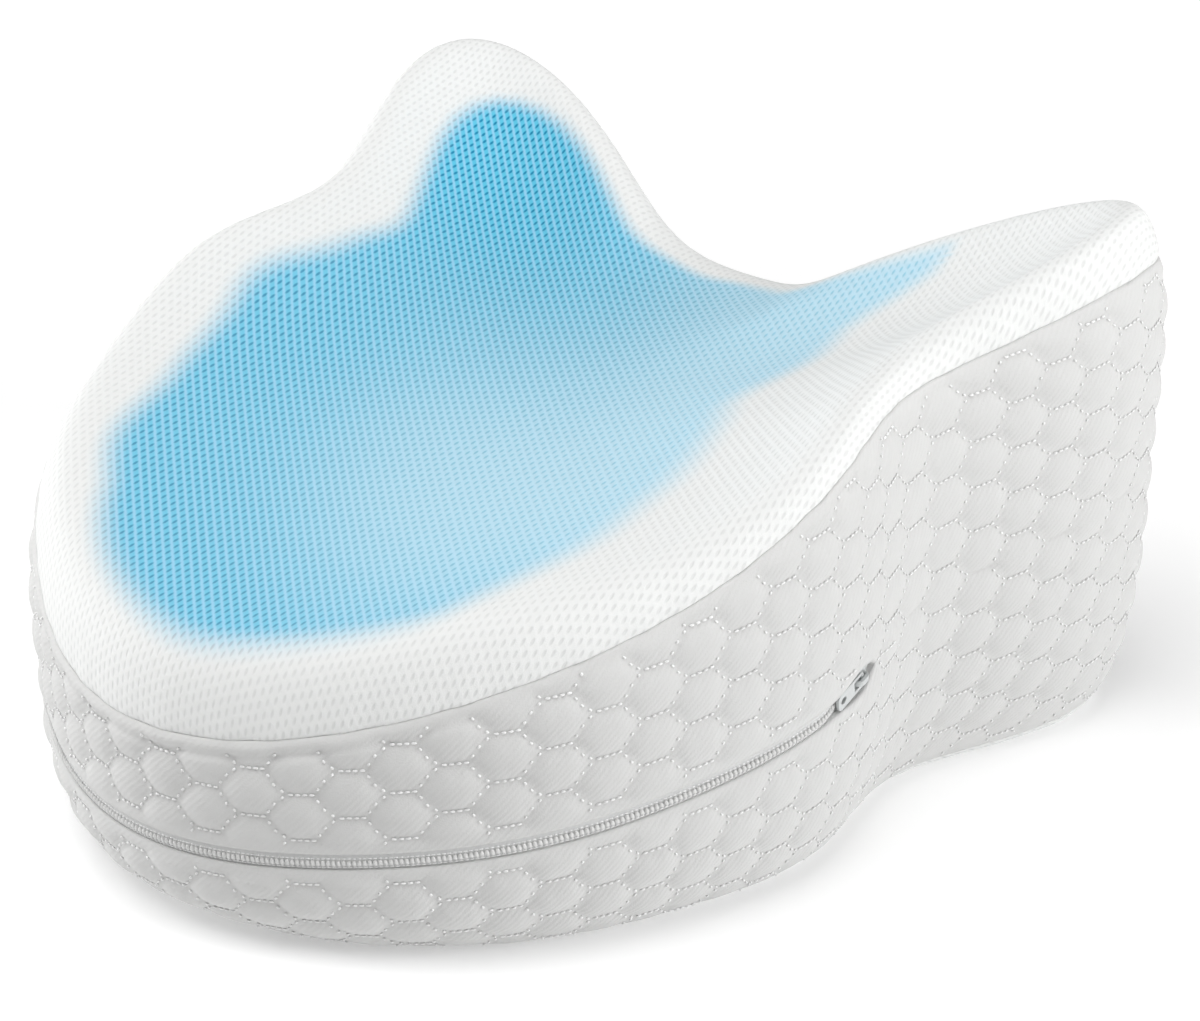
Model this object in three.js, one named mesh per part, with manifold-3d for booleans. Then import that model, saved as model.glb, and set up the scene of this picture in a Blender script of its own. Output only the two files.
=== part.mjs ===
// Contoured knee pillow, in millimetres, +Z up, resting on z = 0.
// The low rounded end points to -Y and the two high wings to +Y. Both sides are alike.
// A trough for the upper leg runs along the top, and a shallower one along the underside.
// The filled body shows the quilted side band. A panel is sewn over its top and another
// under it, and a closed zip lies in a slit of the band around the low end.
import * as THREE from 'three';
import { mergeVertices } from 'three/addons/utils/BufferGeometryUtils.js';
import Module from 'manifold-3d';

const wasm = await Module();
wasm.setup();

// One row for each section, from the middle of the far end (0 degrees) round the right side
// to the middle of the low end (180). reach: plan distance from the pole of the outline to
// the zip line. top, under: heights of the crests of the top rim and of the lower rim, where
// what would lie below zero is pressed flat. topInset, underInset: how far the crests lie
// inside the zip line.
const SECTIONS = [
  { angle: 0, reach: 96, top: 96.5, under: 38, topInset: 20, underInset: 20 },
  { angle: 22.5, reach: 107, top: 104.5, under: 24, topInset: 20, underInset: 20 },
  { angle: 45, reach: 156.5, top: 133.5, under: -3, topInset: 20, underInset: 20 },
  { angle: 67.5, reach: 128.5, top: 122, under: -3, topInset: 19, underInset: 20 },
  { angle: 90, reach: 110.5, top: 113.5, under: -4, topInset: 18, underInset: 20 },
  { angle: 112.5, reach: 121.5, top: 102.5, under: -4, topInset: 19, underInset: 27 },
  { angle: 135, reach: 130, top: 91.5, under: -3, topInset: 20, underInset: 31 },
  { angle: 157.5, reach: 139, top: 82.5, under: 0, topInset: 21, underInset: 31 },
  { angle: 180, reach: 146.5, top: 78, under: 4, topInset: 22, underInset: 30 },
];

// The top and the underside are dishes of a low order in x and y, measured from the pole.
// middle: height at the pole. climb: how it rises towards the wings. across, along: how it
// curves over the width and the length. rounding: power of the superellipse of the wall
// between the crest and the zip line. seam: where the panel meets the band, in degrees around
// the rounding (0 zip line, 90 crest): its mean, and how it changes once and twice around.
const TOP = {
  sign: 1,
  heights: 'top',
  insets: 'topInset',
  middle: 90,
  climb: 0.1,
  across: 0.0016,
  along: 0,
  rounding: 3.2,
  seam: [38, -3, -16],
};
const UNDER = {
  sign: -1,
  heights: 'under',
  insets: 'underInset',
  middle: 31,
  climb: 0.12,
  across: -0.0041,
  along: -0.0011,
  rounding: 2.5,
  seam: [62, 0, 0],
};
const RIGHT_ANGLE = 90;

// The underside turns onto the surface that it rests on within this blend, and the dish under
// it reaches no lower than PRESSED.
const PRESSED = -4;
const PRESS_BLEND = 3;

// Power with which what the crests add to a dish fades towards the middle, and how soon the
// skin levels off past the crests.
const CREST_FADE = 3;
const LEVEL_OFF = 3;

// The zip line is level across the pillow and climbs towards the wings.
const ZIP_HEIGHT = 54.5;
const ZIP_CLIMB = 0.185;

// The panels and the band are drawn in where they are sewn together, and come back to the
// skin of the pillow within SEAM_ROUND of the seam.
const SEAM_DEPTH = 1.2;
const SEAM_ROUND = 4;

// GAP lies between any two pieces, and EDGE_GAP between a panel's edge and the band beside it.
const PANEL_THICK = 2;
const GAP = 0.3;
const EDGE_GAP = 0.5;

// Zip: tape and closed chain in a slit of the band, which is widest at the slider. Halves are
// measured from the zip line along the wall, and depths inwards from the skin.
const ZIP_END_ANGLE = 94.5;
const SLIT_HALF = 2.8;
const SLIT_DEPTH = 5;
const GARAGE_HALF = 4.2;
const GARAGE_ANGLE = 100;
const GARAGE_SPREAD = 9;
const TAPE_THICK = 0.8;
const CHAIN_HALF = 1.1;
const CHAIN_DEPTH = 1.9;
const CHAIN_START_ANGLE = 100.5;

// Slider plate, wider at its front than at its rear, and the bridge over it in side view: its
// two ends, its wall, how high its top and its foot lie over the tape, and its width.
const SLIDER_ANGLE = 97.2;
const SLIDER = { length: 7.6, front: 5.6, rear: 3.8, thick: 1.8, corner: 1.2 };
const BRIDGE = { back: -3.2, front: 2.2, wall: 1, top: 4, foot: 1, wide: 1.4 };

// Pull tab, hung on the bridge by a square eye and leaning back on the chain, with an oval hole
// near its tail. Its places are measured from the slider's middle, towards the slider's end.
const PULL = { head: 0.5, length: 12.2, wide: 4.4, thick: 0.8, bottom: 2.1, corner: 1.6 };
const EYE = { back: -4.1, front: -0.7, half: 1.3 };
const PULL_HOLE = { middle: -9.3, long: 2.6, wide: 1.7 };
const PULL_LEAN = THREE.MathUtils.degToRad(-3);

// Stations around the pillow, and rings between the crests and the middles.
const STATIONS = 80;
const RING_SHARES = [0.85, 0.62, 0.36];
const BAND_LIFTS = [0.3, 0.62];
const SHOULDER_STEPS = [0.33, 0.66];
const CURVE_STEPS = 6;
const TURN = Math.PI * 2;
const SLOPE_STEP = 0.01;

// Cosine series through the rows of one column, which is even around 0 and 180 degrees.
function cosineSeries(values) {
  const last = values.length - 1;
  const isEnd = (index) => index === 0 || index === last;
  return values.map((unused, wave) => {
    let sum = 0;
    values.forEach((value, row) => {
      sum += (isEnd(row) ? 0.5 : 1) * value * Math.cos((Math.PI * wave * row) / last);
    });
    return (isEnd(wave) ? 1 : 2) * (sum / last);
  });
}

const column = (name) => cosineSeries(SECTIONS.map((row) => row[name]));
const reach = column('reach');
TOP.inset = column(TOP.insets);
UNDER.inset = column(UNDER.insets);

function around(series, theta) {
  return series.reduce((sum, share, wave) => sum + share * Math.cos(wave * theta), 0);
}

// Plan point of the zip line, before the pillow is centred.
function planPoint(theta) {
  const radius = around(reach, theta);
  return new THREE.Vector2(radius * Math.sin(theta), radius * Math.cos(theta));
}

// How much of the plan radius lies across the outline, from the slope of the outline.
function acrossShare(theta) {
  const before = planPoint(theta - SLOPE_STEP);
  const after = planPoint(theta + SLOPE_STEP);
  const along = after.sub(before).normalize();
  const out = planPoint(theta).normalize();
  return Math.abs(out.x * along.y - out.y * along.x);
}

// The middle of the pillow's length stands over the origin.
const stationAngles = Array.from({ length: STATIONS }, (unused, i) => (i * TURN) / STATIONS);
const lengthPoints = stationAngles.map((theta) => planPoint(theta).y);
const SHIFT_Y = -(Math.max(...lengthPoints) + Math.min(...lengthPoints)) / 2;

// A height held above a floor, with a soft turn onto it.
function heldAbove(floor, height) {
  const over = height - floor;
  if (over >= PRESS_BLEND) {
    return height;
  }
  return floor + Math.max(over + PRESS_BLEND, 0) ** 2 / (4 * PRESS_BLEND);
}

const zipHeight = (planY) => ZIP_HEIGHT + ZIP_CLIMB * planY;

function crestData(theta, side) {
  const inset = around(side.inset, theta);
  const across = around(reach, theta) * acrossShare(theta);
  return { inset, across, crestShare: 1 - inset / across };
}

function dishHeight(theta, side, share) {
  const plan = planPoint(theta).multiplyScalar(crestData(theta, side).crestShare * share);
  return side.middle + side.climb * plan.y + side.across * plan.x ** 2 + side.along * plan.y ** 2;
}

// What the crest's heights add to the dish.
function crestWaves(side) {
  return cosineSeries(SECTIONS.map((row) => (
    row[side.heights] - dishHeight(THREE.MathUtils.degToRad(row.angle), side, 1)
  )));
}
TOP.waves = crestWaves(TOP);
UNDER.waves = crestWaves(UNDER);

// Height of the top or the underside at a share of the way from the middle to the crest. What
// the crest adds fades towards the middle. Past the crest the slope runs on and levels off.
function skinHeight(theta, side, share) {
  const past = Math.max(share - 1, 0);
  const reached = Math.min(share, 1) + past / (1 + LEVEL_OFF * past);
  const fade = reached < 1 ? reached ** CREST_FADE : 1 + CREST_FADE * (reached - 1);
  return heldAbove(PRESSED, dishHeight(theta, side, reached) + around(side.waves, theta) * fade);
}

// Point of the outer surface. place runs from -2 in the middle of the underside over -1 at
// the lower crest, 0 on the zip line and 1 at the upper crest to 2 in the middle of the top.
// Between the crests and the zip line the wall is rounded as a superellipse.
function outerPoint(theta, place) {
  const side = place > 0 ? TOP : UNDER;
  const size = Math.abs(place);
  const plan = planPoint(theta);
  const { inset, across, crestShare } = crestData(theta, side);
  let share = crestShare * (2 - size);
  let height = skinHeight(theta, side, 2 - size);
  if (size < 1) {
    const turn = (size * Math.PI) / 2;
    const inward = inset * (1 - Math.cos(turn) ** (2 / side.rounding));
    const lift = Math.sin(turn) ** (2 / side.rounding);
    share = 1 - inward / across;
    const line = zipHeight(plan.y * share);
    height = line + (skinHeight(theta, side, share / crestShare) - line) * lift;
  }
  return new THREE.Vector3(plan.x * share, plan.y * share + SHIFT_Y, heldAbove(0, height));
}

function slopeAlong(theta, place) {
  const after = outerPoint(theta, place + SLOPE_STEP);
  return after.sub(outerPoint(theta, place - SLOPE_STEP)).divideScalar(2 * SLOPE_STEP);
}

function outwardNormal(theta, place) {
  if (Math.abs(place) === 2) {
    return new THREE.Vector3(0, 0, Math.sign(place));
  }
  const sideways = outerPoint(theta + SLOPE_STEP, place).sub(outerPoint(theta - SLOPE_STEP, place));
  return slopeAlong(theta, place).cross(sideways).normalize();
}

function insetPoint(theta, place, inset) {
  return outerPoint(theta, place).addScaledVector(outwardNormal(theta, place), -inset);
}

const beside = (theta, place, distance) => place + distance / slopeAlong(theta, place).length();

// Place on the wall at a share of the way up from the zip line to the crest's height.
const liftedPlace = (lift, side) => Math.asin(lift ** (side.rounding / 2)) / (Math.PI / 2);

// Place at a height in millimetres above or below the zip line, close to it.
function nearZip(theta, height, side) {
  const { crestShare } = crestData(theta, side);
  const room = Math.abs(skinHeight(theta, side, 1 / crestShare) - zipHeight(planPoint(theta).y));
  return side.sign * liftedPlace(height / room, side);
}

function seamPlace(theta, side) {
  const [mean, once, twice] = side.seam;
  const degrees = mean + once * Math.cos(theta) + twice * Math.cos(2 * theta);
  return (side.sign * degrees) / RIGHT_ANGLE;
}

// A closed body from rings between two poles. A row gives its place and inset at each angle.
// The diagonals follow the direction of place, so that sheets over each other stay parallel.
function poleToPole(rows) {
  const points = [];
  const triangles = [];
  const first = rows[0];
  const last = rows[rows.length - 1];
  const rings = rows.slice(1, -1);
  points.push(insetPoint(0, first.place(0), first.inset(0)));
  rings.forEach((row) => {
    stationAngles.forEach((theta) => {
      points.push(insetPoint(theta, row.place(theta), row.inset(theta)));
    });
  });
  points.push(insetPoint(0, last.place(0), last.inset(0)));
  const at = (ring, i) => 1 + ring * STATIONS + (i % STATIONS);
  const end = points.length - 1;
  for (let i = 0; i < STATIONS; i += 1) {
    triangles.push(0, at(0, i), at(0, i + 1));
    triangles.push(end, at(rings.length - 1, i + 1), at(rings.length - 1, i));
  }
  for (let ring = 0; ring < rings.length - 1; ring += 1) {
    const rising = rings[ring + 1].place(0) >= rings[ring].place(0);
    for (let i = 0; i < STATIONS; i += 1) {
      const [a, b] = [at(ring, i), at(ring, i + 1)];
      const [d, c] = [at(ring + 1, i), at(ring + 1, i + 1)];
      triangles.push(...(rising ? [a, d, c, a, c, b] : [a, d, b, b, d, c]));
    }
  }
  return solidGeometry(points, triangles);
}

function solidGeometry(points, triangles) {
  const geometry = new THREE.BufferGeometry();
  geometry.setFromPoints(points);
  geometry.setIndex(triangles);
  geometry.computeVertexNormals();
  return geometry;
}

// Rows of a panel, from its sewn edge to the middle: {place, inset} of its outer face, where
// the edge is drawn in along the seam.
function panelRows(side) {
  const edge = (theta) => beside(theta, seamPlace(theta, side), side.sign * EDGE_GAP);
  const round = (theta) => beside(theta, seamPlace(theta, side), side.sign * SEAM_ROUND);
  const rows = [
    { place: edge, inset: SEAM_DEPTH },
    { place: round, inset: 0 },
  ];
  SHOULDER_STEPS.forEach((step) => {
    rows.push({ place: (theta) => THREE.MathUtils.lerp(round(theta), side.sign, step), inset: 0 });
  });
  [1, ...RING_SHARES, 0].forEach((share) => {
    rows.push({ place: () => side.sign * (2 - share), inset: 0 });
  });
  return rows;
}

function sunk(rows, depth) {
  return rows.map((row) => ({ place: row.place, inset: () => row.inset + depth }));
}

// A sewn panel of even thickness: its inner face, round the edge, and its outer face.
function panel(side) {
  const rows = panelRows(side);
  const outer = sunk(rows, 0);
  const inner = sunk(rows, PANEL_THICK);
  return poleToPole(side === TOP ? [...inner.reverse(), ...outer] : [...outer.reverse(), ...inner]);
}

// The slit is wider around the slider, and is shut where no zip is.
function slitHalf(theta) {
  const degrees = THREE.MathUtils.radToDeg(theta);
  const offset = (degrees - GARAGE_ANGLE) / GARAGE_SPREAD;
  return SLIT_HALF + (GARAGE_HALF - SLIT_HALF) * Math.exp(-(offset ** 2));
}

function slitDepth(theta) {
  const degrees = THREE.MathUtils.radToDeg(theta);
  const slack = 0.01;
  const hasZip = degrees > ZIP_END_ANGLE - slack && degrees < 360 - ZIP_END_ANGLE + slack;
  return hasZip ? SLIT_DEPTH : 0;
}

// Half of the band's rows, from the sewn edge to the floor of the zip's slit.
function bandRows(side) {
  const round = (theta) => beside(theta, seamPlace(theta, side), -side.sign * SEAM_ROUND);
  const lip = (theta) => nearZip(theta, slitHalf(theta), side);
  const rows = [
    { place: (theta) => seamPlace(theta, side), inset: () => SEAM_DEPTH },
    { place: round, inset: () => 0 },
  ];
  [...BAND_LIFTS].reverse().forEach((lift) => {
    rows.push({ place: (theta) => round(theta) * liftedPlace(lift, side), inset: () => 0 });
  });
  rows.push({ place: lip, inset: () => 0 });
  rows.push({ place: lip, inset: slitDepth });
  return rows;
}

// The filled body: bare band at its sides, and set back under the panels.
function cushionBody() {
  const underPanel = sunk(panelRows(UNDER), PANEL_THICK + GAP).reverse();
  const underTop = sunk(panelRows(TOP), PANEL_THICK + GAP);
  const step = SEAM_DEPTH + PANEL_THICK + GAP;
  const lowStep = { place: (theta) => seamPlace(theta, UNDER), inset: () => step };
  const highStep = { place: (theta) => seamPlace(theta, TOP), inset: () => step };
  const lowBand = bandRows(UNDER);
  const highBand = bandRows(TOP).reverse();
  return poleToPole([...underPanel, lowStep, ...lowBand, ...highBand, highStep, ...underTop]);
}

// A flat strip along the zip line, between two depths, as rings of four corners with ends.
function zipStrip(angles, half, outerInset, innerInset) {
  const points = [];
  const triangles = [];
  const corners = 4;
  angles.forEach((theta) => {
    const low = nearZip(theta, half(theta), UNDER);
    const high = nearZip(theta, half(theta), TOP);
    points.push(insetPoint(theta, low, innerInset), insetPoint(theta, low, outerInset));
    points.push(insetPoint(theta, high, outerInset), insetPoint(theta, high, innerInset));
  });
  for (let ring = 0; ring < angles.length - 1; ring += 1) {
    for (let side = 0; side < corners; side += 1) {
      const next = (side + 1) % corners;
      const [a, b] = [ring * corners + side, ring * corners + next];
      const [d, c] = [a + corners, b + corners];
      triangles.push(a, b, c, a, c, d);
    }
  }
  const tail = points.length - corners;
  triangles.push(0, 2, 1, 0, 3, 2);
  triangles.push(tail, tail + 1, tail + 2, tail, tail + 2, tail + 3);
  return solidGeometry(points, triangles);
}

function zipAngles(startAngle) {
  const step = 360 / STATIONS;
  const angles = [startAngle];
  for (let angle = 0; angle < 360 - ZIP_END_ANGLE + step / 2; angle += step) {
    if (angle > startAngle + SLOPE_STEP) {
      angles.push(angle);
    }
  }
  return angles.map((angle) => THREE.MathUtils.degToRad(angle));
}

function zipTape() {
  const half = (theta) => slitHalf(theta) - GAP;
  return zipStrip(zipAngles(ZIP_END_ANGLE), half, SLIT_DEPTH - GAP - TAPE_THICK, SLIT_DEPTH - GAP);
}

const chainFloor = SLIT_DEPTH - 2 * GAP - TAPE_THICK;

function zipChain() {
  return zipStrip(zipAngles(CHAIN_START_ANGLE), () => CHAIN_HALF, CHAIN_DEPTH, chainFloor);
}

// Small hard pieces are drawn with x along the zip towards its end, y up and z outwards.
function roundedOutline(left, right, leftHalf, rightHalf, corner) {
  const outline = new THREE.Shape();
  outline.moveTo(left + corner, -leftHalf);
  outline.lineTo(right - corner, -rightHalf);
  outline.quadraticCurveTo(right, -rightHalf, right, -rightHalf + corner);
  outline.lineTo(right, rightHalf - corner);
  outline.quadraticCurveTo(right, rightHalf, right - corner, rightHalf);
  outline.lineTo(left + corner, leftHalf);
  outline.quadraticCurveTo(left, leftHalf, left, leftHalf - corner);
  outline.lineTo(left, -leftHalf + corner);
  outline.quadraticCurveTo(left, -leftHalf, left + corner, -leftHalf);
  return outline;
}

function plate(outline, thick) {
  const settings = { depth: thick, bevelEnabled: false, curveSegments: CURVE_STEPS };
  return new THREE.ExtrudeGeometry(outline, settings);
}

function asManifold(geometry) {
  const bare = geometry.clone();
  bare.deleteAttribute('normal');
  bare.deleteAttribute('uv');
  const merged = mergeVertices(bare);
  const vertProperties = Float32Array.from(merged.attributes.position.array);
  const triVerts = Uint32Array.from(merged.index.array);
  return new wasm.Manifold(new wasm.Mesh({ numProp: 3, vertProperties, triVerts }));
}

function asGeometry(manifold) {
  const mesh = manifold.getMesh();
  const geometry = new THREE.BufferGeometry();
  geometry.setAttribute('position', new THREE.BufferAttribute(mesh.vertProperties, 3));
  geometry.setIndex(new THREE.BufferAttribute(mesh.triVerts, 1));
  geometry.computeVertexNormals();
  return geometry;
}

// The bridge is an arch over the slider's plate, and the pull's bar lies under it.
function bridgeArch() {
  const { back, front, wall, top, foot, wide } = BRIDGE;
  const profile = new THREE.Shape();
  profile.moveTo(back, foot);
  profile.lineTo(back + wall, foot);
  profile.lineTo(back + wall, top - wall);
  profile.lineTo(front - wall, top - wall);
  profile.lineTo(front - wall, foot);
  profile.lineTo(front, foot);
  profile.quadraticCurveTo(front, top, front - 2 * wall, top);
  profile.lineTo(back + 2 * wall, top);
  profile.quadraticCurveTo(back, top, back, foot);
  const arch = plate(profile, wide);
  arch.rotateX(Math.PI / 2);
  arch.translate(0, wide / 2, 0);
  return arch;
}

function sliderBody() {
  const { length, front, rear, thick, corner } = SLIDER;
  const base = plate(roundedOutline(-length / 2, length / 2, rear / 2, front / 2, corner), thick);
  return asGeometry(asManifold(base).add(asManifold(bridgeArch())));
}

function pullTab() {
  const { head, length, wide, thick, bottom, corner } = PULL;
  const outline = roundedOutline(head - length, head, wide / 2, wide / 2, corner);
  const eye = new THREE.Path();
  eye.moveTo(EYE.back, -EYE.half);
  eye.lineTo(EYE.back, EYE.half);
  eye.lineTo(EYE.front, EYE.half);
  eye.lineTo(EYE.front, -EYE.half);
  eye.closePath();
  const hole = new THREE.Path();
  hole.absellipse(PULL_HOLE.middle, 0, PULL_HOLE.long / 2, PULL_HOLE.wide / 2, 0, TURN, true, 0);
  outline.holes.push(eye, hole);
  const tab = plate(outline, thick);
  tab.translate(0, 0, bottom);
  return tab;
}

// Frame of the slider: on the zip line, square to the band there, standing on the tape.
function sliderFrame() {
  const theta = THREE.MathUtils.degToRad(SLIDER_ANGLE);
  const out = outwardNormal(theta, 0);
  const before = outerPoint(theta - SLOPE_STEP, 0);
  const towardsEnd = before.sub(outerPoint(theta + SLOPE_STEP, 0)).normalize();
  const up = out.clone().cross(towardsEnd).normalize();
  const frame = new THREE.Group();
  const turn = new THREE.Matrix4().makeBasis(towardsEnd, up, out);
  frame.quaternion.setFromRotationMatrix(turn);
  frame.position.copy(insetPoint(theta, 0, chainFloor));
  return frame;
}

function piece(name, geometry, color, roughness, metalness = 0) {
  const material = new THREE.MeshStandardMaterial({ color, roughness, metalness });
  const mesh = new THREE.Mesh(geometry, material);
  mesh.name = name;
  return mesh;
}

const pillow = new THREE.Group();
pillow.add(piece('cushion', cushionBody(), 0xe6e6e6, 0.9));
pillow.add(piece('top_panel', panel(TOP), 0xa9d6ec, 0.85));
pillow.add(piece('under_panel', panel(UNDER), 0xeeeeee, 0.85));
pillow.add(piece('zip_tape', zipTape(), 0xd8d8d8, 0.8));
pillow.add(piece('zip_chain', zipChain(), 0xe4e4e4, 0.5));

const sliderPlace = sliderFrame();
sliderPlace.add(piece('zip_slider', sliderBody(), 0xd0d2d2, 0.4, 0.3));
const pull = piece('zip_pull', pullTab(), 0xc9cbcb, 0.4, 0.3);
pull.rotation.y = PULL_LEAN;
sliderPlace.add(pull);
pillow.add(sliderPlace);

export default pillow;
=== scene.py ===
"""Knee pillow: a filled body in a quilted side band, a printed mesh-knit top and a plain underside sewn to
it, and a closed zip round the low end. Lengths are worked out in millimetres and turned to metres in the
meshes."""

import bmesh
import bpy
import numpy as np
from mathutils import Matrix, Vector


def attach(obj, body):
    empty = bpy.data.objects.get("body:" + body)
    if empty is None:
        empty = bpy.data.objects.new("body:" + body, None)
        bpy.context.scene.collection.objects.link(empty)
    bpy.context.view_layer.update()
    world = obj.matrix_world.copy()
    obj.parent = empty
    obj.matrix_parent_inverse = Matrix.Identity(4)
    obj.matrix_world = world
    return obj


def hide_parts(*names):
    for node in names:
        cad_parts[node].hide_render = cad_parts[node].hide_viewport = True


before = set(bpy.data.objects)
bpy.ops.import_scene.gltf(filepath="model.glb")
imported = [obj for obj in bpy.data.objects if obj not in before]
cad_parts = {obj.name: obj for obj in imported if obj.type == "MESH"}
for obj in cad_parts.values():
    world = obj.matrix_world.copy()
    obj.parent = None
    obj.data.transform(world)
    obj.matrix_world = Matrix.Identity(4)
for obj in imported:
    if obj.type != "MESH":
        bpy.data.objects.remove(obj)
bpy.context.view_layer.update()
MM = 0.001

# Form of the pillow

# Half outline in nine sections, from the middle of the far end round the side to the middle of the low end.
# reach: from the middle to the zip line. top, under: height of the two crests. top_inset, under_inset: how
# far the crests lie inside the zip line. reach and top are rounded results of a fit to the photo's outline.
SECTIONS = {
    "angle": (0, 22.5, 45, 67.5, 90, 112.5, 135, 157.5, 180),
    "reach": (96, 107, 156.5, 128.5, 110.5, 121.5, 130, 139, 146.5),
    "top": (96.5, 104.5, 133.5, 122, 113.5, 102.5, 91.5, 82.5, 78),
    "under": (38, 24, -3, -3, -4, -4, -3, 0, 4),
    "top_inset": (20, 20, 20, 19, 18, 19, 20, 21, 22),
    "under_inset": (20, 20, 20, 20, 20, 27, 31, 31, 30),
}
# A dish has its height in the middle, its climb towards the wings and its curve across and along. rounding
# is the power of the wall's superellipse, and seam the angle round the rounding where the panel meets the
# band, in degrees.
TOP = {
    "sign": 1, "heights": "top", "insets": "top_inset", "middle": 90, "climb": 0.1,
    "across": 0.0016, "along": 0, "rounding": 3.2, "seam": (38, -3, -16),
}
UNDER = {
    "sign": -1, "heights": "under", "insets": "under_inset", "middle": 31, "climb": 0.12,
    "across": -0.0041, "along": -0.0011, "rounding": 2.5, "seam": (62, 0, 0),
}
# Lowest that a dish reaches, how softly it turns onto that and onto the floor, the power by which the crests'
# waves fade towards the middle, and how fast the slope levels off past a crest.
PRESSED, PRESS_BLEND, CREST_FADE, LEVEL_OFF = -4, 3, 3, 3
# The zip line's height, and its climb for each millimetre towards the wings.
ZIP_HEIGHT, ZIP_CLIMB = 54.5, 0.185
# The sewn edge and its gap are shallower here than in the solids, because the real seam looks almost flat.
SEAM_DEPTH, SEAM_ROUND, PANEL_THICK, GAP, EDGE_GAP = 0.45, 4, 2, 0.3, 0.06
# Angle of the zip's end, depth of its slit, and the step by which slopes are taken.
ZIP_END, SLIT_DEPTH, STEP = 94.5, 5, 0.01


def cosine_series(values):
    """Weights of cos(k theta) through values at even steps from 0 to 180 degrees; the two ends count half."""
    values = np.asarray(values, float)
    last = len(values) - 1
    wave = np.arange(last + 1)
    half = np.where((wave == 0) | (wave == last), 0.5, 1.0)
    return np.cos(np.pi * np.outer(wave, wave) / last) @ (values * half) * 2 * half / last


def around(series, theta):
    """Sum of weight k times cos(k theta)."""
    return np.polynomial.chebyshev.chebval(np.cos(theta), series)


REACH = cosine_series(SECTIONS["reach"])


def plan_point(theta):
    """Outline in plan: radius from the cosine series, turned from +Y towards +X."""
    radius = around(REACH, theta)
    return np.stack([radius * np.sin(theta), radius * np.cos(theta)], -1)


def unit(vectors):
    """Vectors divided by their lengths."""
    return vectors / np.linalg.norm(vectors, axis=-1, keepdims=True)


LENGTH_POINTS = plan_point(np.arange(80) * np.pi / 40)[:, 1]
SHIFT_Y = -(LENGTH_POINTS.max() + LENGTH_POINTS.min()) / 2


def crest_of(theta, side):
    """Inset of the crest, width of the plan square to the outline, and the crest's share of the plan
    radius."""
    along = unit(plan_point(theta + STEP) - plan_point(theta - STEP))
    out = unit(plan_point(theta))
    square = np.abs(out[..., 0] * along[..., 1] - out[..., 1] * along[..., 0])
    inset = around(side["inset_series"], theta)
    across = around(REACH, theta) * square
    return inset, across, 1 - inset / across


def held_above(floor, height):
    """Height, but turned softly onto the floor where it would dip below it: a parabola within the blend."""
    over = height - floor
    soft = floor + np.maximum(over + PRESS_BLEND, 0) ** 2 / (4 * PRESS_BLEND)
    return np.where(over >= PRESS_BLEND, height, soft)


def dish(theta, side, share):
    """Dish: middle + climb y + across x^2 + along y^2, at that share of the crest's place in plan."""
    flat = plan_point(theta) * (crest_of(theta, side)[2] * share)[..., None]
    x, y = flat[..., 0], flat[..., 1]
    return side["middle"] + side["climb"] * y + side["across"] * x**2 + side["along"] * y**2


for side in (TOP, UNDER):
    side["inset_series"] = cosine_series(SECTIONS[side["insets"]])
    row_angles = np.radians(SECTIONS["angle"])
    side["waves"] = cosine_series(np.array(SECTIONS[side["heights"]]) - dish(row_angles, side, np.ones(9)))


def skin_height(theta, side, share):
    """Dish plus the crest's waves times share^3; past the crest the slope runs on and levels off."""
    past = np.maximum(share - 1, 0)
    reached = np.minimum(share, 1) + past / (1 + LEVEL_OFF * past)
    fade = np.where(reached < 1, np.abs(reached) ** CREST_FADE, 1 + CREST_FADE * (reached - 1))
    return held_above(PRESSED, dish(theta, side, reached) + around(side["waves"], theta) * fade)


def outer_point(theta, place):
    """Skin of the pillow. place is -2 in the middle of the underside, -1 at the lower crest, 0 on the zip
    line, 1 at the upper crest and 2 in the middle of the top. The wall is a superellipse between zip line
    and crest."""
    theta, place = np.broadcast_arrays(np.asarray(theta, float), np.asarray(place, float))
    size = np.abs(place)
    flat = plan_point(theta)
    halves = []
    for side in (TOP, UNDER):
        inset, across, crest = crest_of(theta, side)
        turn = np.clip(size, 0, 1) * np.pi / 2
        power = 2 / side["rounding"]
        wall = 1 - inset * (1 - np.clip(np.cos(turn), 0, 1) ** power) / across
        line = ZIP_HEIGHT + ZIP_CLIMB * flat[..., 1] * wall
        raised = line + (skin_height(theta, side, wall / crest) - line) * np.sin(turn) ** power
        share = np.where(size < 1, wall, crest * (2 - size))
        height = np.where(size < 1, raised, skin_height(theta, side, 2 - size))
        place_y = flat[..., 1] * share + SHIFT_Y
        halves.append(np.stack([flat[..., 0] * share, place_y, held_above(0, height)], -1))
    return np.where((place > 0)[..., None], halves[0], halves[1])


def outward(theta, place):
    """Unit normal of the skin: slope along place crossed with slope around."""
    rise = outer_point(theta, place + STEP) - outer_point(theta, place - STEP)
    run = outer_point(theta + STEP, place) - outer_point(theta - STEP, place)
    return unit(np.cross(rise, run))


def lifted_place(lift, side):
    """Place on the wall at a share of the way from the zip line to the crest's height."""
    return np.arcsin(np.clip(lift, 0, 1) ** (side["rounding"] / 2)) / (np.pi / 2)


def seam_place(theta, side):
    """Where a panel meets the band: an angle round the rounding, with one and two waves around the pillow."""
    mean, once, twice = side["seam"]
    return side["sign"] * (mean + once * np.cos(theta) + twice * np.cos(2 * theta)) / 90


def beside(theta, place, distance):
    """Place at a distance in millimetres along the skin from another."""
    rise = outer_point(theta, place + STEP) - outer_point(theta, place - STEP)
    return place + distance * 2 * STEP / np.linalg.norm(rise, axis=-1)


def smooth(low, high, value):
    """0 below low, 1 above high, and 3t^2 - 2t^3 between them."""
    t = np.clip((value - low) / (high - low), 0, 1)
    return t * t * (3 - 2 * t)


# Meshes from arrays


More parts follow.
